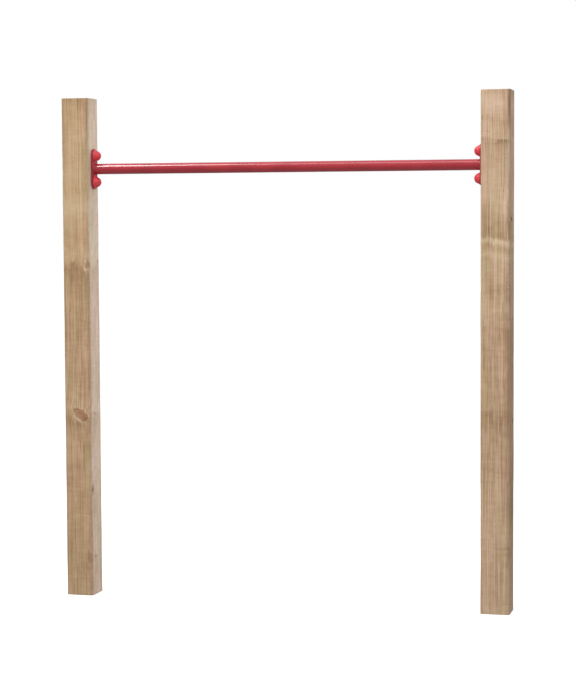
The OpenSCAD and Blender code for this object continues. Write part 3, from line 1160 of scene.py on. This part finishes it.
def cap_outline(inset):
    """(radius, height) points up a cap's flank and over its nose, shrunk by inset."""
    nose_z = CAP_TOP - CAP_NOSE_R
    nose_r = CAP_NOSE_R - inset
    meet_r = nose_r * math.cos(CAP_FLANK)
    meet_z = nose_z + nose_r * math.sin(CAP_FLANK)
    foot_z = CAP_GAP if inset else CAP_GAP + LIP_H
    flank = [(meet_r + (meet_z - z) * math.tan(CAP_FLANK), z) for z in np.linspace(foot_z, meet_z, 12)]
    turns = np.linspace(CAP_FLANK, QUARTER, 22)[1:]
    nose = [(nose_r * math.cos(a), nose_z + nose_r * math.sin(a)) for a in turns]
    nose[-1] = (0.0, nose_z + nose_r)
    return flank + nose


def inner_ridge(inside):
    """The cap's inside, from its nose down, with the ridge that snaps under the base's bead."""
    foot_r, foot_z = inside[-1]

    def on_wall(z):
        return (foot_r - (z - foot_z) * math.tan(CAP_FLANK), z)

    top = RIDGE_Z + RIDGE_H
    above = [p for p in inside if p[1] > top + 0.4 * MM]
    below = [p for p in inside if p[1] < RIDGE_Z - 0.4 * MM]
    ridge = [on_wall(top + 0.3 * MM), (RIDGE_R, RIDGE_Z + RIDGE_H * 0.75),
             (RIDGE_R, RIDGE_Z + RIDGE_H * 0.25), on_wall(RIDGE_Z - 0.3 * MM)]
    return above + ridge + below


def slotted(radius, height, angles):
    """The lip's radius, cut back at the lever slot, which faces +Y."""
    off = np.abs((angles - QUARTER + math.pi) % TURN - math.pi)
    open_by = np.clip((SLOT_HALF * 1.15 - off) / (SLOT_HALF * 0.15), 0, 1)
    if height >= CAP_GAP + SLOT_H or radius <= CAP_R - SLOT_DEPTH:
        open_by = 0.0
    return radius + (min(radius, CAP_R - SLOT_DEPTH) - radius) * open_by


def cap_mesh(side, level):
    """A hollow domed cap with a lip, a lever slot behind, an inner ridge and a gate mark."""
    outside = [(r, z - GATE_DEPTH * max(0.0, 1 - r / GATE_R)) for r, z in cap_outline(0)]
    flank_r = outside[0][0]
    lip = rounded([(flank_r - 1.6 * MM, CAP_GAP, 0), (CAP_R, CAP_GAP, 0.25 * MM),
                   (CAP_R, CAP_GAP + LIP_H, 0.45 * MM),
                   (flank_r, CAP_GAP + LIP_H + 0.1 * MM, 0.3 * MM), (*outside[1], 0)],
                  closed=False, steps=4)
    profile = lip + outside[2:] + inner_ridge(cap_outline(CAP_WALL)[::-1])
    return turned_piece("cap_shell", profile, side, level, 128, slotted)


def cap_base_mesh(side, level):
    """The disc under the washer, with its collar and snap bead."""
    top = BASE_T + COLLAR_H
    bead = top - 0.8 * MM
    profile = rounded([
        (WASHER_BORE, 0, 0.15 * MM), (BASE_R, 0, 0.25 * MM), (BASE_R, BASE_T, 0.5 * MM),
        (COLLAR_R, BASE_T, 0.3 * MM), (COLLAR_R, bead - 0.9 * MM, 0.1 * MM),
        (BEAD_R, bead - 0.4 * MM, 0.15 * MM), (BEAD_R, bead, 0.15 * MM),
        (COLLAR_R, top, 0.25 * MM), (COLLAR_BORE, top, 0.4 * MM),
        (COLLAR_BORE, BASE_T, 0.3 * MM), (WASHER_BORE, BASE_T, 0.15 * MM),
    ], steps=4)
    return turned_piece("cap_base_ring", profile, side, level)


# ---- The object ----

COAT = powder_coat()
PLASTIC = cap_plastic()
ZINC = zinc_plate()
KNOTS = knot_group()

new_piece("bar_tube", tube_mesh(), COAT, "grip_tube")
for side, post in POSTS.items():
    new_piece(f"{side}_timber_post", post_mesh(side, post), timber(side, post, KNOTS),
              f"{side}_post", sharp_degrees=60)
    new_piece(f"{side}_end_plate", plate_mesh(side), COAT, f"{side}_plate")
    new_piece(f"{side}_weld_bead", weld_mesh(side), COAT, f"{side}_weld",
              sharp_degrees=60)
    for level in LEVELS:
        at = f"{side}_{level}"
        twist = RNG.uniform(0, TURN / 6)
        new_piece(f"{at}_coach_screw", screw_mesh(side, level, twist), ZINC, f"{at}_screw",
                  sharp_degrees=25)
        new_piece(f"{at}_steel_washer", washer_mesh(side, level), ZINC, f"{at}_washer")
        new_piece(f"{at}_snap_base", cap_base_mesh(side, level), PLASTIC, f"{at}_cap_base")
        new_piece(f"{at}_dome", cap_mesh(side, level), PLASTIC, f"{at}_cap",
                  body=f"{at}_cap_body")


# ---- Camera, floor and light ----

CAMERA_PLACE = (1.6428, -6.0378, 1.2299)
CAMERA_LENS = 104.76
CAMERA_SENSOR = 36.0
CAMERA_YAW = math.radians(15.103)
CAMERA_PITCH = math.radians(-3.707)
CAMERA_ROLL = math.radians(-0.311)
FLOOR_HALF = 60.0


def make_camera():
    """The camera stands to the right of the middle, at chest height, with a long lens."""
    camera = bpy.data.objects.new("camera", bpy.data.cameras.new("camera"))
    bpy.context.scene.collection.objects.link(camera)
    camera.data.lens = CAMERA_LENS
    camera.data.sensor_width = CAMERA_SENSOR
    camera.data.clip_end = 100
    yaw = Matrix.Rotation(CAMERA_YAW, 4, "Z")
    pitch = Matrix.Rotation(QUARTER + CAMERA_PITCH, 4, "X")
    roll = Matrix.Rotation(CAMERA_ROLL, 4, "Z")
    camera.matrix_world = Matrix.Translation(CAMERA_PLACE) @ yaw @ (pitch @ roll)
    bpy.context.scene.camera = camera


def make_floor():
    """A wide floor that neither lights the object nor shows in its reflections."""
    places = np.linspace(-FLOOR_HALF, FLOOR_HALF, 9)
    points = np.array([[(x, y, 0.0) for x in places] for y in places])
    mesh = grid_mesh("studio floor", points, around=False)
    floor = bpy.data.objects.new("studio_floor", mesh)
    bpy.context.scene.collection.objects.link(floor)
    mesh.materials.append(pale_floor())
    floor.visible_diffuse = False
    floor.visible_glossy = False


def make_softbox(name, place, towards, size, power, reflected=True):
    """A rectangular area light that faces a point, with or without a reflection of its own."""
    data = bpy.data.lights.new(name, "AREA")
    data.shape = "RECTANGLE"
    data.size, data.size_y = size
    data.energy = power
    light = bpy.data.objects.new(name, data)
    bpy.context.scene.collection.objects.link(light)
    light.location = place
    heading = Vector(towards) - Vector(place)
    light.rotation_mode = "QUATERNION"
    light.rotation_quaternion = heading.to_track_quat("-Z", "Y")
    light.visible_glossy = reflected


def make_world():
    """White paper behind the object, lit by a soft light that is weaker from below."""
    world = bpy.data.worlds.new("white studio")
    bpy.context.scene.world = world
    world.use_nodes = True
    n = Nodes(world.node_tree)
    _, backwards, upwards = n.separate(n.add("ShaderNodeTexCoord", output="Generated"))
    height = n.times(n.plus(upwards, 1.0), 0.5)
    front = n.ramp(height, [(0.0, 0.44), (0.3, 0.42), (0.48, 0.36), (0.6, 0.55), (0.85, 0.85)])
    back = n.ramp(height, [(0.0, 0.44), (0.3, 0.28), (0.47, 0.13), (0.6, 0.30), (0.80, 0.95)])
    around = n.mix(n.step(backwards, -0.1, 0.5), front, back)
    seen = n.add("ShaderNodeLightPath", output="Is Camera Ray")
    n.feed(world.node_tree.nodes["Background"], {"Color": n.mix(seen, around, WHITE)})


make_camera()
make_floor()
make_world()
make_softbox("high_softbox", (-2.5, -1.75, 5.45), (-0.5, 0, 1.2), (1.9, 1.7), 165)
make_softbox("high_side_softbox", (-0.3, -1.75, 5.45), (0.1, 0, 1.2), (2.0, 1.7), 30)
make_softbox("right_softbox", (2.6, -3.0, 4.6), (-0.2, 0, 1.4), (1.6, 1.6), 36)
make_softbox("middle_fill", (0.35, -2.7, 1.3), (-0.1, 0, 0.8), (1.6, 1.6), 20, reflected=False)
make_softbox("back_fill", (0.35, 2.6, 1.6), (-0.4, 0, 0.9), (1.6, 1.6), 45, reflected=False)
make_softbox("side_fill", (0.55, 1.0, 0.9), (-0.63, 0, 0.8), (0.8, 1.6), 5, reflected=False)
bpy.context.scene.view_settings.view_transform = "Standard"
